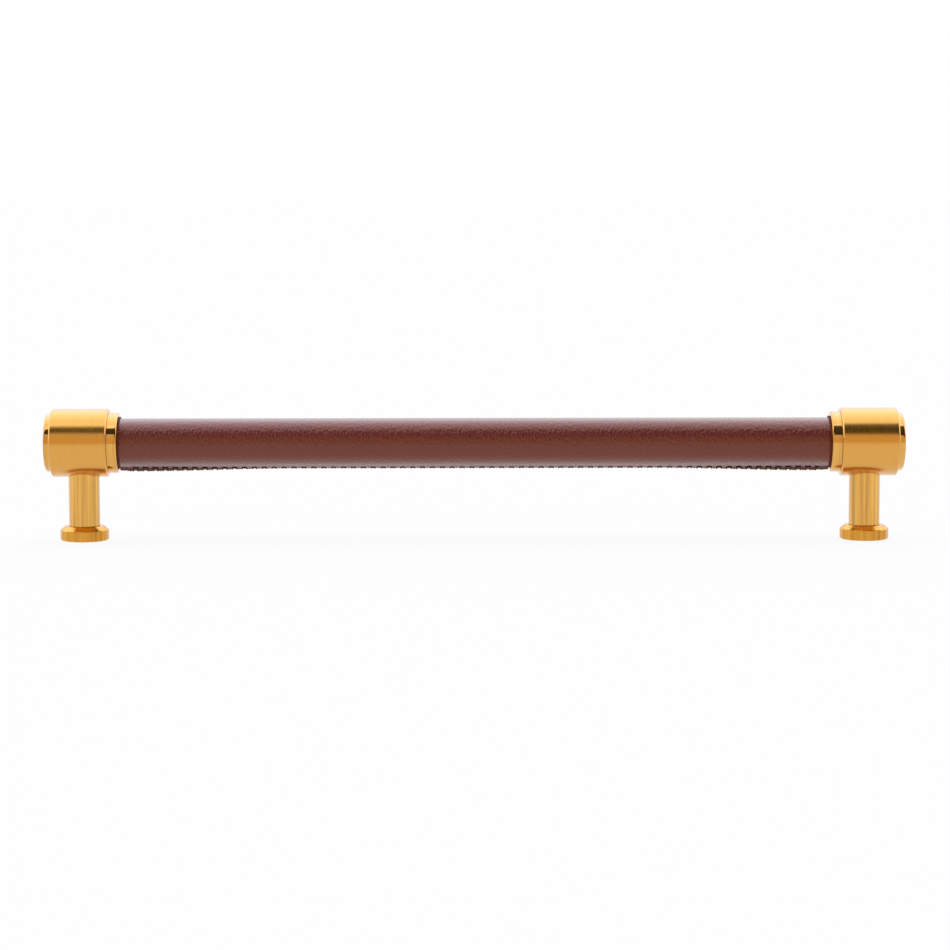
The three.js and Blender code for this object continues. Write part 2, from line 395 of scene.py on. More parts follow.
class Finish(Enum):
    """The finishes in use. Each value is the material's name and the record's slot that it belongs to."""

    SATIN_BRASS = ("satin_brass", "brushed_brass")
    RING_BRASS = ("polished_ring_brass", "polished_brass")
    FOOT_BRASS = ("polished_foot_brass", "polished_brass")
    POST_BRASS = ("polished_post_brass", "polished_brass")
    LEATHER = ("oxblood_leather", "leather")
    WAXED_THREAD = ("waxed_thread", "waxed_thread")
    FIBRE = ("vulcanised_fibre", "fibre")
    STEEL = ("turned_steel", "steel")

    def __init__(self, title: str, slot: str) -> None:
        """Gives the two parts of the value their names."""
        self.title = title
        self.slot = slot


class Finishes:
    """The materials, each made once."""

    def __init__(self) -> None:
        """Makes every material."""
        recipes = {
            Finish.SATIN_BRASS: SatinBrass(),
            # The collars and caps shine most, with fine rings round the bar.
            Finish.RING_BRASS: PolishedBrass((0.5, 20.0, 20.0), roughness=0.09, lacquer_roughness=0.03),
            # The posts show long faint stripes along them: polish marks, with painted reflection bands in
            # their tone.
            Finish.POST_BRASS: PolishedBrass(
                (1.5, 1.5, 60.0),
                roughness=0.17,
                lacquer_roughness=0.08,
                lacquer=0.8,
                colour="#EEB44C",
                stripe_colour="#BC8628",
            ),
            # The feet have only a thin lacquer, and their brass is set deeper and darker than the other
            # polished brass: painted shade, as it is the same brass.
            Finish.FOOT_BRASS: PolishedBrass(
                (1.9, 1.9, 60.0),
                roughness=0.21,
                lacquer_roughness=0.06,
                lacquer=0.35,
                colour="#E6A636",
                stripe_colour="#BE8020",
            ),
            Finish.LEATHER: OxbloodLeather(),
            # Waxed linen thread of two plies has a dull sheen and short fibres.
            Finish.WAXED_THREAD: FineTexture(
                "#5C302A",
                "#3F1E19",
                width=0.12,
                detail=3.0,
                depth=0.02,
                strength=0.5,
                roughness=0.62,
                specular=0.4,
                sheen=0.15,
            ),
            # Vulcanised fibre, punched from sheet, is dull, with a faint mottle of paper. Its deep
            # orange-brown is matched to the dark line beside the collar, which is partly painted reflection
            # of the collar's brass.
            Finish.FIBRE: FineTexture(
                "#732B08",
                "#5C2005",
                width=0.5,
                detail=4.0,
                depth=0.03,
                strength=0.3,
                roughness=0.6,
                specular=0.25,
            ),
            Finish.STEEL: TurnedSteel(),
        }
        self.materials = {finish: recipe.material(finish.title) for finish, recipe in recipes.items()}

    def dress(self, piece: bpy.types.Object, finish: Finish) -> None:
        """Gives a piece its material.

        Args:
            piece: the piece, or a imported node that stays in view.
            finish: its finish.
        """
        piece.data.materials.clear()
        piece.data.materials.append(self.materials[finish])


@dataclass(frozen=True)
class Corner:
    """A corner of a turned outline, in millimetres."""

    radius: float
    along: float  # its place along the axis
    rounding: float = 0.0  # how far the rounding reaches along both sides


@dataclass(frozen=True)
class NodeSize:
    """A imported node's box, in millimetres."""

    low: Vector
    high: Vector

    @classmethod
    def of(cls, node: str) -> NodeSize:
        """Reads a node's box from the frame."""
        low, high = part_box(node)
        return cls(low / MM, high / MM)

    @property
    def centre(self) -> Vector:
        """The middle of the box."""
        return (self.low + self.high) / 2

    @property
    def radius_on_bar(self) -> float:
        """The radius of a node that is turned about the bar's axis."""
        return (self.high.z - self.low.z) / 2

    @property
    def upright_radius(self) -> float:
        """The radius of a node that is turned about an upright axis."""
        return (self.high.x - self.low.x) / 2


def turned(outline: Sequence[Corner], segments: int) -> bmesh.types.BMesh:
    """Turns a closed outline about +Z.

    Args:
        outline: its corners in order. An outline that meets the axis starts and ends on it.
        segments: the number of facets round the axis.

    Returns:
        The closed solid.
    """
    solid = bmesh.new()
    verts = [solid.verts.new((corner.radius, 0, corner.along)) for corner in outline]
    for start, end in zip(verts, verts[1:] + verts[:1]):
        if start.co.x > 0 or end.co.x > 0:
            solid.edges.new((start, end))
    for vert, corner in zip(verts, outline):
        if corner.rounding > 0:
            bmesh.ops.bevel(
                solid,
                geom=[vert],
                offset=corner.rounding,
                offset_type="OFFSET",
                segments=ROUNDING_SEGMENTS,
                profile=0.5,
                affect="VERTICES",
                material=-1,
            )
    bmesh.ops.spin(
        solid,
        geom=solid.verts[:] + solid.edges[:],
        cent=(0, 0, 0),
        axis=(0, 0, 1),
        angle=math.tau,
        steps=segments,
        use_merge=True,
    )
    bmesh.ops.remove_doubles(solid, verts=solid.verts, dist=MERGED)
    bmesh.ops.recalc_face_normals(solid, faces=solid.faces)
    return solid


def smooth_shading(solid: bmesh.types.BMesh) -> None:
    """Shades a solid smooth, but for its sharp edges."""
    for face in solid.faces:
        face.smooth = True
    for edge in solid.edges:
        edge.smooth = edge.calc_face_angle(0.0) < SHARP_ANGLE


def add_object(name: str, data: bpy.types.ID) -> bpy.types.Object:
    """Adds an object to the scene, at the origin."""
    added = bpy.data.objects.new(name, data)
    bpy.context.scene.collection.objects.link(added)
    return added


def to_object(name: str, solid: bmesh.types.BMesh, place: Matrix | None = None) -> bpy.types.Object:
    """Makes an object of a solid in millimetres, with its place in its mesh.

    Args:
        name: the object's name.
        solid: the solid, which is used up.
        place: where it goes in the frame, in millimetres.

    Returns:
        The object, at the origin.
    """
    solid.transform(Matrix.Scale(MM, 4) @ (place or Matrix.Identity(4)))
    smooth_shading(solid)
    mesh = bpy.data.meshes.new(name)
    solid.to_mesh(mesh)
    solid.free()
    return add_object(name, mesh)


def as_shown(piece: bpy.types.Object) -> bmesh.types.BMesh:
    """Reads the mesh of a piece as its modifiers or its curve's settings show it."""
    shown = piece.evaluated_get(bpy.context.evaluated_depsgraph_get())
    mesh = bpy.data.meshes.new_from_object(shown)
    solid = bmesh.new()
    solid.from_mesh(mesh)
    bpy.data.meshes.remove(mesh)
    return solid


def cut_away(piece: bpy.types.Object, cutter: bpy.types.Object) -> None:
    """Cuts one solid out of another and removes the cutter.

    Args:
        piece: the object that is cut.
        cutter: the object that is taken away from it.
    """
    cut = piece.modifiers.new("cut", "BOOLEAN")
    cut.operation = "DIFFERENCE"
    cut.solver = "EXACT"
    cut.object = cutter
    solid = as_shown(piece)
    piece.modifiers.clear()
    bpy.data.objects.remove(cutter)
    smooth_shading(solid)
    solid.to_mesh(piece.data)
    solid.free()


def weight_normals(piece: bpy.types.Object) -> None:
    """Lets the large faces set the shading, so that a small rounding doesn't bend what they mirror."""
    weighted = piece.modifiers.new("face_weighted", "WEIGHTED_NORMAL")
    weighted.mode = "FACE_AREA"
    weighted.weight = FACE_WEIGHT
    weighted.keep_sharp = True


def finish_piece(piece: bpy.types.Object, finishes: Finishes, finish: Finish, *nodes: str) -> None:
    """Dresses a piece, sets it on its body and lets it stand for its nodes.

    Args:
        piece: the piece, in place.
        finishes: the materials.
        finish: its finish.
        *nodes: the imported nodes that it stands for.
    """
    finishes.dress(piece, finish)
    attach(piece, BODY)
    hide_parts(*nodes)
    LOG.info("%s stands for %s: %d faces", piece.name, ", ".join(nodes), len(piece.data.polygons))


@dataclass
class EndAssembly:
    """Turned pieces at one end of the bar, which share their place in the frame."""

    side: Side
    edge_break: float = 0.08  # the rounding of a turned edge
    segments: int = BAR_SEGMENTS
    place: Matrix = field(init=False)

    def node(self, part: str) -> NodeSize:
        """The box of one of this end's nodes."""
        return NodeSize.of(f"{self.side.prefix}_{part}")

    def turn(self, title: str, *outline: Corner) -> bpy.types.Object:
        """Turns a piece of this end from its outline and sets it in place."""
        return to_object(f"{self.side.prefix}_{title}", turned(outline, self.segments), self.place)

    def finish(self, finishes: Finishes, *made: tuple[bpy.types.Object, Finish, str]) -> None:
        """Dresses the pieces.

        Args:
            finishes: the materials.
            *made: each piece, its finish and the part that it stands for.
        """
        for piece, finish, part in made:
            weight_normals(piece)
            finish_piece(piece, finishes, finish, f"{self.side.prefix}_{part}")


@dataclass
class BarEnd(EndAssembly):
    """One end of the bar: the barrel, its collar, the washer beside the leather and the end cap.

    Places along the bar are measured outwards from the post's axis.
    """

    chamfer: float = 0.45
    collar_lip: float = 0.6
    cap_rounding: float = 0.9

    def __post_init__(self) -> None:
        """Reads the end's sizes from the frame."""
        self.post = self.node("post")
        self.post_x = self.post.centre.x
        self.axis_z = self.node("barrel").centre.z
        self.bore = NodeSize.of("core_tube").radius_on_bar + SLIP_FIT
        self.place = Matrix.Translation((self.post_x, 0, self.axis_z)) @ self.side.outwards

    def _span(self, part: str) -> tuple[float, float, float]:
        """Where a node starts and ends, outwards from the post's axis, and its radius."""
        size = self.node(part)
        inside, outside = sorted(self.side.value * (x - self.post_x) for x in (size.low.x, size.high.x))
        return inside, outside, size.radius_on_bar

    def barrel(self) -> bpy.types.Object:
        """Turns the barrel, and cuts the post's pocket and the stud's hole into its underside."""
        inside, outside, radius = self._span("barrel")
        piece = self.turn(
            "barrel_turned",
            Corner(self.bore, inside),
            Corner(radius - self.chamfer, inside, self.edge_break),
            Corner(radius, inside + self.chamfer, self.edge_break),
            Corner(radius, outside - self.chamfer, self.edge_break),
            Corner(radius - self.chamfer, outside, self.edge_break),
            Corner(self.bore, outside),
        )
        pocket_radius = self.post.upright_radius + SLIP_FIT
        hole_radius = self.node("post_stud").upright_radius + SLIP_FIT
        hole_end = self.axis_z - hole_radius
        below = self.axis_z - 2 * radius
        cutter_outline = [
            Corner(0, below),
            Corner(pocket_radius, below),
            Corner(pocket_radius, self.post.high.z),
            Corner(hole_radius, self.post.high.z),
            Corner(hole_radius, hole_end),
            Corner(0, hole_end),
        ]
        cutter = turned(cutter_outline, POST_SEGMENTS)
        cut_away(piece, to_object("pocket_cutter", cutter, Matrix.Translation((self.post_x, 0, 0))))
        return piece

    def ring(self, part: str, title: str, lip: float) -> bpy.types.Object:
        """Turns a plain ring round the tube.

        Args:
            part: the part that it stands for.
            title: the piece's name, without its end.
            lip: the rounding of its edge beside the leather.

        Returns:
            The piece.
        """
        inside, outside, radius = self._span(part)
        return self.turn(
            title,
            Corner(self.bore, inside),
            Corner(radius, inside, lip),
            Corner(radius, outside, self.edge_break),
            Corner(self.bore, outside),
        )

    def cap(self) -> bpy.types.Object:
        """Turns the end cap: a disc with a rounded edge, on a spigot in the bore."""
        spigot_end, outside, radius = self._span("end_cap")
        disc_inside = self._span("barrel")[1] + SLIP_FIT
        spigot = self.bore - SLIP_FIT
        return self.turn(
            "cap_turned",
            Corner(0, spigot_end),
            Corner(spigot, spigot_end, self.edge_break),
            Corner(spigot, disc_inside),
            Corner(radius, disc_inside, self.edge_break),
            Corner(radius, outside, self.cap_rounding),
            Corner(0, outside),
        )

    def build(self, finishes: Finishes) -> None:
        """Makes and dresses the end's pieces.

        Args:
            finishes: the materials.
        """
        self.finish(
            finishes,
            (self.barrel(), Finish.SATIN_BRASS, "barrel"),
            (self.ring("collar", "collar_turned", self.collar_lip), Finish.RING_BRASS, "collar"),
            (self.ring("end_washer", "washer_ring", self.edge_break), Finish.FIBRE, "end_washer"),
            (self.cap(), Finish.RING_BRASS, "end_cap"),
        )


@dataclass
class Standoff(EndAssembly):
    """A post with its tenon through a stepped foot. Heights are measured from the door."""

    segments: int = POST_SEGMENTS
    tenon_shoulder: float = 1.5
    screw_hole: float = 1.7
    screw_depth: float = 11.3
    web: float = 4.0  # of solid post between the screw hole and the stud's hole
    foot_chamfer: float = 0.5
    foot_land: float = 1.6
    rim_share: float = 4.0 / 5.55  # of the foot's height that is its straight side

    def __post_init__(self) -> None:
        """Reads the standoff's sizes from the frame."""
        self.post_size = self.node("post")
        self.foot_size = self.node("foot")
        self.place = Matrix.Translation((self.post_size.centre.x, 0, 0))

    def post(self) -> bpy.types.Object:
        """Turns the post, with its tenon, screw hole and stud hole."""
        radius = self.post_size.upright_radius
        tenon = radius - self.tenon_shoulder
        bottom = self.post_size.low.z
        top = self.post_size.high.z
        shoulder = self.foot_size.high.z + SLIP_FIT / 2
        stud_hole = self.node("post_stud").upright_radius + SLIP_FIT
        stud_floor = self.screw_depth + self.web
        return self.turn(
            "post_turned",
            Corner(0, self.screw_depth),
            Corner(self.screw_hole, self.screw_depth),
            Corner(self.screw_hole, bottom),
            Corner(tenon, bottom, self.edge_break),
            Corner(tenon, shoulder),
            Corner(radius, shoulder, self.edge_break),
            Corner(radius, top),
            Corner(stud_hole, top),
            Corner(stud_hole, stud_floor),
            Corner(0, stud_floor),
        )

    def foot(self) -> bpy.types.Object:
        """Turns the foot: a straight rim under a cone that ends in a narrow land round the post."""
        radius = self.foot_size.upright_radius
        post_radius = self.post_size.upright_radius
        hole = post_radius - self.tenon_shoulder + SLIP_FIT
        top = self.foot_size.high.z
        return self.turn(
            "foot_turned",
            Corner(hole, 0),
            Corner(radius - self.foot_chamfer, 0),
            Corner(radius, self.foot_chamfer, self.edge_break),
            Corner(radius, top * self.rim_share, 2 * self.edge_break),
            Corner(post_radius + self.foot_land, top, self.edge_break),
            Corner(hole, top),
        )

    def build(self, finishes: Finishes) -> None:
        """Makes and dresses the post and the foot.

        Args:
            finishes: the materials.
        """
        self.finish(
            finishes,
            (self.post(), Finish.POST_BRASS, "post"),
            (self.foot(), Finish.FOOT_BRASS, "foot"),
        )


@dataclass
class Seam:
    """The laced seam along the underside of the sleeve.

    Places are measured along the bar from its middle, and across from the seam's line, round the leather.
    The thread runs to and fro in a square wave: short turns beside each edge, and quick crossings.
    """

    pitch: float = 3.87
    margin: float = 3.0
    swing: float = 2.25  # from the seam's line to the turns at the middle of the bar
    end_swing: float = 2.35  # and near its ends, where the seam stands proud
    turn_share: float = 0.72  # how much of the thread's run along the bar falls in its turns
    squareness: float = 2.4
    thread_radius: float = 0.26
    rise_start: float = 68.0  # the seam starts to rise this far from the end of the leather
    rise_end: float = 8.0
    rise_height: float = 1.0  # above what it stands out at the middle of the bar
    ridge_top: float = 1.8  # half of the raised seam's width near the ends, where it has steep sides
    ridge_foot: float = 2.45
    middle_height: float = 0.38  # of the gentle swell that runs from end to end
    swell_top: float = 1.4
    swell_foot: float = 4.6
    samples: int = 22  # points of the thread's path for each half stitch

    def __post_init__(self) -> None:
        """Reads the leather's sizes from the frame and spaces the stitches evenly."""
        sleeve = NodeSize.of("leather_wrap")
        tube = NodeSize.of("core_tube")
        self.half_length = sleeve.high.x
        self.radius = sleeve.high.z - tube.centre.z
        self.axis_z = tube.centre.z
        stitched = 2 * (self.half_length - self.margin)
        self.half_stitches = 2 * round(stitched / self.pitch)
        self.half_pitch = stitched / self.half_stitches
        self.start = -stitched / 2

    def rise_share(self, along: float) -> float:
        """How much of its rise the seam has reached at a place along the bar, from 0 to 1."""
        return smoothstep(abs(along), self.half_length - self.rise_start, self.half_length - self.rise_end)

    def height(self, along: float, across: float) -> float:
        """How far the seam stands out of the leather, without its stitches."""
        ridge = self.rise_height * self.rise_share(along)
        ridge *= 1 - smoothstep(abs(across), self.ridge_top, self.ridge_foot)
        swell = self.middle_height * (1 - smoothstep(abs(across), self.swell_top, self.swell_foot))
        return ridge + swell

    def thread_at(self, turns: float) -> tuple[float, float]:
        """The thread's place after a number of half stitches.

        Args:
            turns: half stitches from the start, whole at each crossing.

        Returns:
            The place along the bar and across the seam.
        """
        lag = self.turn_share * math.sin(math.tau * turns) / math.tau
        along = self.start + self.half_pitch * (turns - lag)
        wave = math.tanh(self.squareness * math.sin(math.pi * turns)) / math.tanh(self.squareness)
        reach = self.swing + (self.end_swing - self.swing) * self.rise_share(along)
        return along, reach * wave

    def thread_path(self) -> list[tuple[float, float]]:
        """The thread's places from end to end."""
        first, last = 0.5, self.half_stitches - 0.5
        count = round((last - first) * self.samples)
        return [self.thread_at(first + (last - first) * i / count) for i in range(count + 1)]

    def on_bar(self, along: float, across: float, radius: float) -> Vector:
        """A point of the frame, from its place along the bar and across the seam, and its radius."""
        angle = across / self.radius
        return Vector((along, radius * math.sin(angle), self.axis_z - radius * math.cos(angle)))


@dataclass
class LeatherSleeve:
    """One sheet of leather rolled round the bar, its edges laced together on the side towards the door."""

    # how dark the leather is along the seam: dye at the cut edges, painted shade beside the thread and on
    # the raised seam's sides
    DYE = "edge_dye_and_shade"

    seam: Seam
    slit: float = 0.4
    fine_step: float = 0.3  # between the columns of the mesh beside the seam
    fine_width: float = 4.8
    plain_step: float = 0.95
    bore_facets: int = 30
    stations_per_pitch: int = 10
    groove_depth: float = 0.2  # where the thread is drawn into the leather
    groove_width: float = 0.42
    pillow_height: float = 0.3  # of the leather that bulges between the turns of the thread
    pillow_top: float = 1.6
    pillow_foot: float = 3.6
    edge_roll: float = 0.3  # of the sheet's cut edges, inwards
    edge_reach: float = 0.35
    end_roll: float = 0.05
    end_reach: float = 0.25
    plain_end: float = 0.5  # of leather that stays flat between the stitches and the washer
    dye_width: float = 0.4
    thread_shade: float = 0.6  # painted shade beside the thread
    flank_shade: float = 0.85  # painted shade on the sides of the raised seam
    flank_top: float = 2.3
    flank_foot: float = 2.8

    def __post_init__(self) -> None:
        """Finds the sleeve's bore from the tube in it."""
        self.bore = NodeSize.of("core_tube").radius_on_bar + SLIP_FIT

    def _angles(self) -> list[float]:
        """The angles of the section's outer points from straight down, from edge to edge of the sheet."""
        radius = self.seam.radius
        fine_length = self.fine_width - self.slit / 2
        fine_count = round(fine_length / self.fine_step)
        fine = [self.slit / 2 + i * fine_length / fine_count for i in range(fine_count)]
        plain_length = math.tau * radius - 2 * self.fine_width
        plain_count = round(plain_length / self.plain_step)
        plain = [self.fine_width + i * plain_length / plain_count for i in range(plain_count + 1)]
        other_edge = [math.tau * radius - across for across in reversed(fine)]
        return [across / radius for across in fine + plain + other_edge]

    def _section(self) -> list[tuple[float, float]]:
        """The closed section of the sheet, across the bar, as radii and angles from straight down."""
        outer = [(self.seam.radius, angle) for angle in self._angles()]
        edge = self.slit / 2 / self.seam.radius
        bore_step = (math.tau - 2 * edge) / self.bore_facets
        inner = [(self.bore, math.tau - edge - i * bore_step) for i in range(self.bore_facets + 1)]
        return outer + inner + outer[:1]

    def _rolled_sheet(self) -> bmesh.types.BMesh:
        """Bends a grid round the bar, closes it along its first and last rows, and fills its two ends."""
        section = self._section()
        length = 2 * self.seam.half_length
        steps = round(length / self.seam.pitch * self.stations_per_pitch)
        solid = bmesh.new()
        bmesh.ops.create_grid(solid, x_segments=steps, y_segments=len(section) - 1, size=1.0)
        for vert in solid.verts:
            radius, angle = section[round((vert.co.y + 1) / 2 * (len(section) - 1))]
            vert.co = (vert.co.x * length / 2, radius * math.sin(angle), -radius * math.cos(angle))
        bmesh.ops.remove_doubles(solid, verts=solid.verts, dist=MERGED)
        rims = [edge for edge in solid.edges if edge.is_boundary]
        bmesh.ops.holes_fill(solid, edges=rims, sides=0)
        bmesh.ops.recalc_face_normals(solid, faces=solid.faces)
        return solid

    def _relief(self, along: float, across: float, thread_distance: float) -> float:
        """How far the leather's surface stands out at a place.

        Args:
            along: the place along the bar.
            across: the place across the seam.
            thread_distance: how far the place is from the thread's path.

        Returns:
            The height above the plain leather.
        """
        seam = self.seam
        offset = abs(across)
        side_phase = 0.5 if across > 0 else 1.5
        phase = (along - seam.start) / seam.half_pitch - side_phase
        between_turns = 0.5 - 0.5 * math.cos(math.pi * phase)
        stitched = smoothstep(seam.half_length - abs(along), self.plain_end, seam.margin + 1)
        pillow = self.pillow_height * between_turns * stitched
        pillow *= 1 - smoothstep(offset, self.pillow_top, self.pillow_foot)
        groove = self.groove_depth * math.exp(-((thread_distance / self.groove_width) ** 2))
        edge = self.edge_roll * math.exp(-(offset - self.slit / 2) / self.edge_reach)
        end = self.end_roll * math.exp(-(seam.half_length - abs(along)) / self.end_reach)
        return seam.height(along, across) + pillow - groove - edge - end

    def _darkening(self, along: float, across: float, thread_distance: float) -> float:
        """How dark the leather is made, from 0 to 1, at a place that is given as for the relief: dye at the
        cut edges, painted shade beside the thread and on the raised seam's sides.
        """
        thread_shadow = self.thread_shade * math.exp(-((thread_distance / self.dye_width) ** 2))
        cut_edge = math.exp(-(abs(across) - self.slit / 2) / self.dye_width)
        flank = self.flank_shade * self.seam.rise_share(along)
        flank *= 1 - smoothstep(abs(across), self.flank_top, self.flank_foot)
        return min(1.0, thread_shadow + cut_edge + flank)

    def build(self, finishes: Finishes) -> None:
        """Makes and dresses the sleeve.

        Args:
            finishes: the materials.
        """
        seam = self.seam
        solid = self._rolled_sheet()
        path = seam.thread_path()
        tree = KDTree(len(path))
        for index, (along, across) in enumerate(path):
            tree.insert((along, across, 0), index)
        tree.balance()
        dye_and_shade = solid.verts.layers.float.new(self.DYE)
        middle = (seam.radius + self.bore) / 2
        for vert in solid.verts:
            radius = math.hypot(vert.co.y, vert.co.z)
            angle = math.atan2(vert.co.y, -vert.co.z)
            across = angle * seam.radius
            at_seam = abs(across) < self.fine_width
            if radius > middle:
                distance = tree.find((vert.co.x, across, 0))[2] if at_seam else self.fine_width
                radius += self._relief(vert.co.x, across, distance)
                vert[dye_and_shade] = self._darkening(vert.co.x, across, distance) if at_seam else 0.0
            elif at_seam:
                vert[dye_and_shade] = 1.0
            vert.co.y = radius * math.sin(angle)
            vert.co.z = -radius * math.cos(angle)
        piece = to_object("leather_sleeve", solid, Matrix.Translation((0, 0, seam.axis_z)))
        finish_piece(piece, finishes, Finish.LEATHER, "leather_wrap")


@dataclass
class SeamThread:
    """The lacing: one waxed thread of two plies, which turns beside each edge and crosses between them."""

    seam: Seam
    seat: float = 0.12  # of the thread's middle above the leather
    twist_length: float = 1.5  # of a half turn of the plies
    ply_depth: float = 0.16  # of the hollow between the plies, as a share of the thread's radius
    section_points: int = 10

    def _section(self) -> bpy.types.Object:
        """Draws the thread's section, two plies side by side, as a closed curve."""
        curve = bpy.data.curves.new("thread_section", "CURVE")
        curve.dimensions = "2D"
        spline = curve.splines.new("POLY")
        spline.points.add(self.section_points - 1)
        spline.use_cyclic_u = True
        for index, point in enumerate(spline.points):
            angle = math.tau * index / self.section_points
            lobes = 1 - self.ply_depth * (0.5 - 0.5 * math.cos(2 * angle))
            radius = self.seam.thread_radius * lobes * MM
            point.co = (radius * math.cos(angle), radius * math.sin(angle), 0, 1)
        return add_object("thread_section", curve)

    def _line(self) -> list[Vector]:
        """The thread's middle line in the frame, in metres."""
        seam = self.seam
        return [
            seam.on_bar(along, across, seam.radius + seam.height(along, across) + self.seat) * MM
            for along, across in seam.thread_path()
        ]

    def build(self, finishes: Finishes) -> None:
        """Makes and dresses the thread.

        Args:
            finishes: the materials.
        """
        line = self._line()
        curve = bpy.data.curves.new("seam_lacing", "CURVE")
        curve.dimensions = "3D"
        curve.twist_mode = "MINIMUM"
        spline = curve.splines.new("POLY")
        spline.points.add(len(line) - 1)
        travelled = 0.0
        for index, (point, place) in enumerate(zip(spline.points, line)):
            travelled += (place - line[index - 1]).length if index else 0.0
            point.co = (*place, 1)
            point.tilt = math.pi * travelled / (self.twist_length * MM)
        section = self._section()
        curve.bevel_mode = "OBJECT"
        curve.bevel_object = section
        curve.use_fill_caps = True
        drawn = add_object("seam_lacing_line", curve)
        solid = as_shown(drawn)
        bpy.data.objects.remove(drawn)
        bpy.data.objects.remove(section)
        bmesh.ops.remove_doubles(solid, verts=solid.verts, dist=MERGED * MM)
        bmesh.ops.recalc_face_normals(solid, faces=solid.faces)
        piece = to_object("seam_lacing", solid, Matrix.Scale(1 / MM, 4))
        finish_piece(piece, finishes, Finish.WAXED_THREAD, "seam_thread")


class HiddenCore:
    """The steel inside: the tube, its plugs and the studs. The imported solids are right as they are."""

    NODES = ("core_tube", "left_core_plug", "right_core_plug", "left_post_stud", "right_post_stud")

    def build(self, finishes: Finishes, nodes: dict[str, bpy.types.Object]) -> None:
        """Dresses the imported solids.

        Args:
            finishes: the materials.
            nodes: the frame's nodes by name.
        """
        for name in self.NODES:
            finishes.dress(nodes[name], Finish.STEEL)
            LOG.info("%s keeps its packed solid", name)


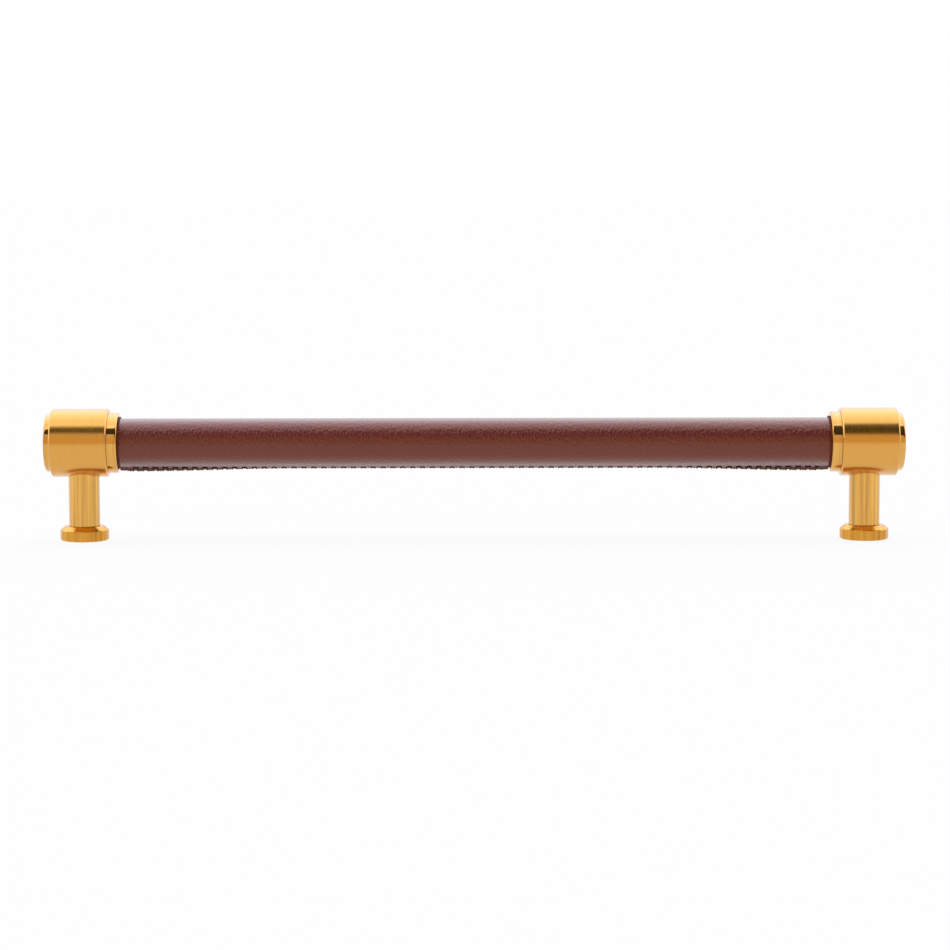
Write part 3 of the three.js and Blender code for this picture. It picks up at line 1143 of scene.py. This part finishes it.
@dataclass
class Studio:
    """A white floor, a white surround and the camera.

    The surround is graded by height, as a product studio is: a soft box overhead, a dark flag in front of
    it and a dimmer room beyond. Angles are in degrees, from the horizon in front of the pull, over the top,
    to the horizon behind it.
    """

    focal_pixels: float = 2945.0
    frame_pixels: float = 950.0
    sensor: float = 36.0
    distance: float = 1150.0
    azimuth: float = -0.214
    elevation: float = 5.688
    roll: float = -0.081
    target: tuple[float, float, float] = (0.2, 0.0, 25.13)
    clip: tuple[float, float] = (0.01, 100.0)  # in metres
    floor_size: float = 60000.0
    floor_grey: float = 0.72  # of its paper, where it takes light and shadow
    floor_glow: float = 0.9  # share of plain white in what the camera and mirrors see of the floor
    backdrop_top: float = 158.0  # below it, behind the pull, what mirrors show fades to plain white
    brightest: float = 2.3
    flag_centre: float = 49.0
    flag_narrow: float = 6.6  # half of the flag's height far to the left
    flag_wide: float = 24.3  # and far to the right
    flag_turn: float = 0.3  # how far to each side it has those heights, as a share of the distance
    flag_blur: float = 0.15  # of its edges, as a share of half of its height
    flag_level: float = 0.06  # share of the light that the flag lets through

    SURROUND = (
        (0.0, (0.84, 0.64, 0.42)),
        (16.0, (0.84, 0.63, 0.38)),
        (24.0, (0.84, 0.70, 0.54)),
        (32.0, (0.80, 0.72, 0.62)),
        (62.0, (1.35, 1.40, 1.55)),
        (69.0, (1.65, 1.75, 2.05)),
        (75.0, (1.45, 1.55, 1.80)),
        (81.0, (1.30, 1.45, 1.75)),
        (88.0, (1.52, 1.58, 1.88)),
        (103.0, (1.82, 1.80, 2.08)),
        (125.0, (1.92, 1.94, 2.20)),
        (142.0, (1.62, 1.68, 1.82)),
        (158.0, (1.15, 1.15, 1.18)),
        (180.0, (1.05, 1.05, 1.05)),
    )

    def floor(self) -> None:
        """Lays the floor that the feet stand on."""
        solid = bmesh.new()
        bmesh.ops.create_grid(solid, x_segments=8, y_segments=8, size=self.floor_size / 2)
        floor = to_object("floor", solid, Matrix.Translation((0, 0, -SLIP_FIT)))
        material = bpy.data.materials.new("white_floor")
        material.use_nodes = True
        tree = material.node_tree
        tree.nodes.clear()
        paper = add_node(tree, "ShaderNodeBsdfDiffuse", {"Color": (*[self.floor_grey] * 3, 1)})
        white = add_node(tree, "ShaderNodeEmission", {"Color": WHITE, "Strength": 1.0})
        rays = add_node(tree, "ShaderNodeLightPath").outputs
        seen = rays["Is Camera Ray"]
        for kind in ("Is Glossy Ray", "Is Transmission Ray"):
            seen = add_node(tree, "ShaderNodeMath", {0: seen, 1: rays[kind]}, operation="MAXIMUM")
        share = add_node(tree, "ShaderNodeMath", {0: seen, 1: self.floor_glow}, operation="MULTIPLY")
        mixed = add_node(tree, "ShaderNodeMixShader", {0: share, 1: paper, 2: white})
        add_node(tree, "ShaderNodeOutputMaterial", {"Surface": mixed})
        floor.data.materials.append(material)

    def surround(self) -> None:
        """Grades the world by the direction of the light, and shows it to the camera as plain white."""
        world = bpy.data.worlds.new("white_studio")
        bpy.context.scene.world = world
        world.use_nodes = True
        tree = world.node_tree
        tree.nodes.clear()
        direction = add_node(tree, "ShaderNodeTexCoord").outputs["Generated"]
        parts = add_node(tree, "ShaderNodeSeparateXYZ", {0: direction}).outputs
        ahead = add_node(tree, "ShaderNodeMath", {0: parts["Y"], 1: -1.0}, operation="MULTIPLY")
        angle = add_node(tree, "ShaderNodeMath", {0: parts["Z"], 1: ahead}, operation="ARCTAN2")
        share = add_node(tree, "ShaderNodeMath", {0: angle, 1: math.pi}, operation="DIVIDE")
        graded = add_node(tree, "ShaderNodeValToRGB", {0: share})
        stops = graded.color_ramp.elements
        first_stops = len(stops)
        for index, (degrees, levels) in enumerate(self.SURROUND):
            position = degrees / HALF_TURN
            stop = stops[index] if index < first_stops else stops.new(position)
            stop.position = position
            stop.color = (*(level / self.brightest for level in levels), 1.0)
        terms = {0: share, 1: self.flag_centre / HALF_TURN}
        offset = add_node(tree, "ShaderNodeMath", terms, operation="SUBTRACT")
        distance = add_node(tree, "ShaderNodeMath", {0: offset}, operation="ABSOLUTE")
        span = {"Value": parts["X"], "From Min": -self.flag_turn, "From Max": self.flag_turn}
        span |= {"To Min": self.flag_narrow / HALF_TURN, "To Max": self.flag_wide / HALF_TURN}
        reach = add_node(tree, "ShaderNodeMapRange", span)
        inside = add_node(tree, "ShaderNodeMath", {0: distance, 1: reach}, operation="DIVIDE")
        span = {"Value": inside, "From Min": 1 - self.flag_blur, "From Max": 1 + self.flag_blur}
        span["To Min"] = self.flag_level
        passed = add_node(tree, "ShaderNodeMapRange", span, interpolation_type="SMOOTHSTEP")
        tints = {0: passed, 6: (0, 0, 0, 1), 7: graded}
        lit = add_node(tree, "ShaderNodeMix", tints, data_type="RGBA").outputs[2]
        glow = add_node(tree, "ShaderNodeBackground", {"Color": lit, "Strength": self.brightest})
        white = add_node(tree, "ShaderNodeBackground", {"Color": WHITE, "Strength": 1.0})
        rays = add_node(tree, "ShaderNodeLightPath").outputs
        terms = {0: rays["Is Glossy Ray"], 1: rays["Is Transmission Ray"]}
        mirrored = add_node(tree, "ShaderNodeMath", terms, operation="MAXIMUM")
        span = {"Value": share, "From Min": self.backdrop_top / HALF_TURN, "From Max": 1.0}
        behind = add_node(tree, "ShaderNodeMapRange", span)
        mirrored = add_node(tree, "ShaderNodeMath", {0: mirrored, 1: behind}, operation="MULTIPLY")
        terms = {0: rays["Is Camera Ray"], 1: mirrored}
        seen = add_node(tree, "ShaderNodeMath", terms, operation="MAXIMUM")
        mixed = add_node(tree, "ShaderNodeMixShader", {0: seen, 1: glow, 2: white})
        add_node(tree, "ShaderNodeOutputWorld", {"Surface": mixed})

    def camera(self) -> None:
        """Sets the camera at the photograph's viewing angle."""
        data = bpy.data.cameras.new("camera")
        data.sensor_width = self.sensor
        data.lens = self.focal_pixels / self.frame_pixels * self.sensor
        data.clip_start, data.clip_end = self.clip
        camera = add_object("camera", data)
        azimuth, elevation = math.radians(self.azimuth), math.radians(self.elevation)
        level, height = math.cos(elevation), math.sin(elevation)
        back = Vector((math.sin(azimuth) * level, -math.cos(azimuth) * level, height))
        camera.location = (Vector(self.target) + self.distance * back) * MM
        camera.rotation_mode = "QUATERNION"
        upright = (-back).to_track_quat("-Z", "Y")
        camera.rotation_quaternion = upright @ Quaternion((0, 0, 1), math.radians(self.roll))
        bpy.context.scene.camera = camera

    def build(self) -> None:
        """Makes the floor, the surround and the camera."""
        self.floor()
        self.surround()
        self.camera()
        bpy.context.scene.view_settings.view_transform = "Standard"


def main() -> None:
    """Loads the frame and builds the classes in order."""
    logging.basicConfig(level=logging.INFO, format="%(name)s: %(message)s")
    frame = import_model()

    Studio().build()
    finishes = Finishes()
    seam = Seam()
    LeatherSleeve(seam).build(finishes)
    SeamThread(seam).build(finishes)
    for side in Side:
        BarEnd(side).build(finishes)
        Standoff(side).build(finishes)
    HiddenCore().build(finishes, frame["nodes"])


if __name__ == "__main__":
    main()
